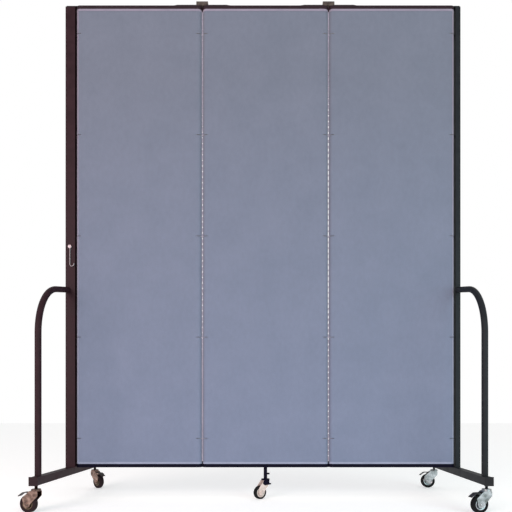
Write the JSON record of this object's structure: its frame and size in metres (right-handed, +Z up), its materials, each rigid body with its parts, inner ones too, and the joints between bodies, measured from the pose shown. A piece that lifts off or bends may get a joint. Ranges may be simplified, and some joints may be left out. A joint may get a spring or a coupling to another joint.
{
  "type": "rolling partition",
  "caption": "Folding room partition of fabric panels hinged both ways between arched end frames on braked swivel casters, with a sprung caster under the middle.",
  "frame": {"origin": "under the middle of the whole object, on the floor", "axes": "+X along the partition to the right seen from the front, the front faces -Y, +Z up"},
  "size_m": [1.8528, 0.7361, 2.2515],
  "materials": {
    "fabric": "woven polyester panel cloth, matt",
    "stile_wood": "edge post covered in the panel cloth",
    "batten_wood": "plain softwood, hidden",
    "rail": "dark brown paint",
    "frame_paint": "dark paint, satin",
    "dark_steel": "black paint",
    "link_plastic": "dark moulded link strip",
    "steel": "plain steel",
    "chrome": "bright plate",
    "caster_steel": "zinc plate",
    "hub_plastic": "moulded hub",
    "cap_plastic": "black moulded cap",
    "tyre": "rubber tread"
  },
  "bodies": {
    "middle_panel": {"middle_stiles": "stile_wood", "middle_battens": "batten_wood", "middle_fabric": "fabric", "middle_top_rail": "rail", "middle_bottom_rail": "rail", "middle_hinge_rods": "steel", "middle_hinge_plates": "dark_steel", "leveller_sleeve": "steel", "leveller_spring": "steel"},
    "left_panel": {"left_stiles": "stile_wood", "left_battens": "batten_wood", "left_fabric": "fabric", "left_top_rail": "rail", "left_bottom_rail": "rail", "left_hinge_rods": "steel", "left_hinge_plates": "dark_steel"},
    "left_link": {"left_hinge_block": "dark_steel", "left_hinge_links": "link_plastic"},
    "left_end_frame": {"left_upright": "frame_paint", "left_foot_bar": "frame_paint", "left_front_loop": "frame_paint", "left_rear_loop": "frame_paint", "left_end_caps": "cap_plastic", "latch_screw": "chrome"},
    "right_panel": {"right_stiles": "stile_wood", "right_battens": "batten_wood", "right_fabric": "fabric", "right_top_rail": "rail", "right_bottom_rail": "rail", "right_hinge_rods": "steel", "right_hinge_plates": "dark_steel"},
    "right_link": {"right_hinge_block": "dark_steel", "right_hinge_links": "link_plastic"},
    "right_end_frame": {"right_upright": "frame_paint", "right_foot_bar": "frame_paint", "right_front_loop": "frame_paint", "right_rear_loop": "frame_paint", "right_end_caps": "cap_plastic"},
    "latch": {"latch_hook": "chrome"},
    "front_left_caster": {"front_left_fork": "caster_steel"},
    "front_left_wheel_body": {"front_left_wheel": "hub_plastic", "front_left_tyre": "tyre"},
    "front_left_brake": {"front_left_brake_pedal": "caster_steel"},
    "rear_left_caster": {"rear_left_fork": "caster_steel"},
    "rear_left_wheel_body": {"rear_left_wheel": "hub_plastic", "rear_left_tyre": "tyre"},
    "rear_left_brake": {"rear_left_brake_pedal": "caster_steel"},
    "front_right_caster": {"front_right_fork": "caster_steel"},
    "front_right_wheel_body": {"front_right_wheel": "hub_plastic", "front_right_tyre": "tyre"},
    "front_right_brake": {"front_right_brake_pedal": "caster_steel"},
    "rear_right_caster": {"rear_right_fork": "caster_steel"},
    "rear_right_wheel_body": {"rear_right_wheel": "hub_plastic", "rear_right_tyre": "tyre"},
    "rear_right_brake": {"rear_right_brake_pedal": "caster_steel"},
    "leveller": {"leveller_plunger": "dark_steel"},
    "middle_caster": {"middle_fork": "steel"},
    "middle_wheel_body": {"middle_wheel": "hub_plastic", "middle_tyre": "tyre"}
  },
  "joints": [
    {"name": "left_seam_inner", "type": "hinge", "parent": "middle_panel", "child": "left_link", "pos_m": [-0.23044, 0, 1.1851], "axis": [0, 0, 1], "range_deg": [-90, 90]},
    {"name": "left_seam_outer", "type": "hinge", "parent": "left_link", "child": "left_panel", "pos_m": [-0.26944, 0, 1.1851], "axis": [0, 0, 1], "range_deg": [-90, 90]},
    {"name": "left_frame_hinge", "type": "hinge", "parent": "left_panel", "child": "left_end_frame", "pos_m": [-0.80244, 0, 1.1851], "axis": [0, 0, -1], "range_deg": [-90, 90]},
    {"name": "right_seam_inner", "type": "hinge", "parent": "middle_panel", "child": "right_link", "pos_m": [0.30256, 0, 1.1851], "axis": [0, 0, 1], "range_deg": [-90, 90]},
    {"name": "right_seam_outer", "type": "hinge", "parent": "right_link", "child": "right_panel", "pos_m": [0.34156, 0, 1.1851], "axis": [0, 0, 1], "range_deg": [-90, 90]},
    {"name": "right_frame_hinge", "type": "hinge", "parent": "right_panel", "child": "right_end_frame", "pos_m": [0.87456, 0, 1.1851], "axis": [0, 0, -1], "range_deg": [-90, 90]},
    {"name": "latch_swing", "type": "hinge", "parent": "left_end_frame", "child": "latch", "pos_m": [-0.84294, -0.0255, 1.136], "axis": [0, -1, 0], "range_deg": [-90, 90]},
    {"name": "front_left_swivel", "type": "hinge", "parent": "left_end_frame", "child": "front_left_caster", "pos_m": [-0.85394, -0.34, 0.087], "axis": [0, 0, 1], "continuous": true},
    {"name": "front_left_wheel_spin", "type": "hinge", "parent": "front_left_caster", "child": "front_left_wheel_body", "pos_m": [-0.88524, -0.33335, 0.035], "axis": [-0.2079, -0.9781, 0], "continuous": true},
    {"name": "front_left_brake_press", "type": "hinge", "parent": "front_left_caster", "child": "front_left_brake", "pos_m": [-0.86959, -0.33667, 0.0804], "axis": [-0.2079, -0.9781, 0], "range_deg": [0, 10]},
    {"name": "rear_left_swivel", "type": "hinge", "parent": "left_end_frame", "child": "rear_left_caster", "pos_m": [-0.85394, 0.34, 0.087], "axis": [0, 0, 1], "continuous": true},
    {"name": "rear_left_wheel_spin", "type": "hinge", "parent": "rear_left_caster", "child": "rear_left_wheel_body", "pos_m": [-0.82872, 0.3203, 0.035], "axis": [0.6157, 0.788, 0], "continuous": true},
    {"name": "rear_left_brake_press", "type": "hinge", "parent": "rear_left_caster", "child": "rear_left_brake", "pos_m": [-0.84133, 0.33015, 0.0804], "axis": [0.6157, 0.788, 0], "range_deg": [0, 10]},
    {"name": "front_right_swivel", "type": "hinge", "parent": "right_end_frame", "child": "front_right_caster", "pos_m": [0.90506, -0.34, 0.087], "axis": [0, 0, 1], "continuous": true},
    {"name": "front_right_wheel_spin", "type": "hinge", "parent": "front_right_caster", "child": "front_right_wheel_body", "pos_m": [0.87401, -0.34774, 0.035], "axis": [0.2419, -0.9703, 0], "continuous": true},
    {"name": "front_right_brake_press", "type": "hinge", "parent": "front_right_caster", "child": "front_right_brake", "pos_m": [0.88954, -0.34387, 0.0804], "axis": [0.2419, -0.9703, 0], "range_deg": [0, 10]},
    {"name": "rear_right_swivel", "type": "hinge", "parent": "right_end_frame", "child": "rear_right_caster", "pos_m": [0.90506, 0.34, 0.087], "axis": [0, 0, 1], "continuous": true},
    {"name": "rear_right_wheel_spin", "type": "hinge", "parent": "rear_right_caster", "child": "rear_right_wheel_body", "pos_m": [0.87318, 0.34279, 0.035], "axis": [-0.0872, -0.9962, 0], "continuous": true},
    {"name": "rear_right_brake_press", "type": "hinge", "parent": "rear_right_caster", "child": "rear_right_brake", "pos_m": [0.88912, 0.34139, 0.0804], "axis": [-0.0872, -0.9962, 0], "range_deg": [0, 10]},
    {"name": "leveller_slide", "type": "slide", "parent": "middle_panel", "child": "leveller", "axis": [0, 0, 1], "range_m": [-0.012, 0.015], "stiffness_N_per_m": 1000, "springref_m": -0.03, "deforming": ["leveller_spring"]},
    {"name": "middle_swivel", "type": "hinge", "parent": "leveller", "child": "middle_caster", "pos_m": [0.03606, 0, 0.084], "axis": [0, 0, 1], "continuous": true},
    {"name": "middle_wheel_spin", "type": "hinge", "parent": "middle_caster", "child": "middle_wheel_body", "pos_m": [0.01149, -0.01721, 0.03], "axis": [0.5736, -0.8192, 0], "continuous": true}
  ]
}
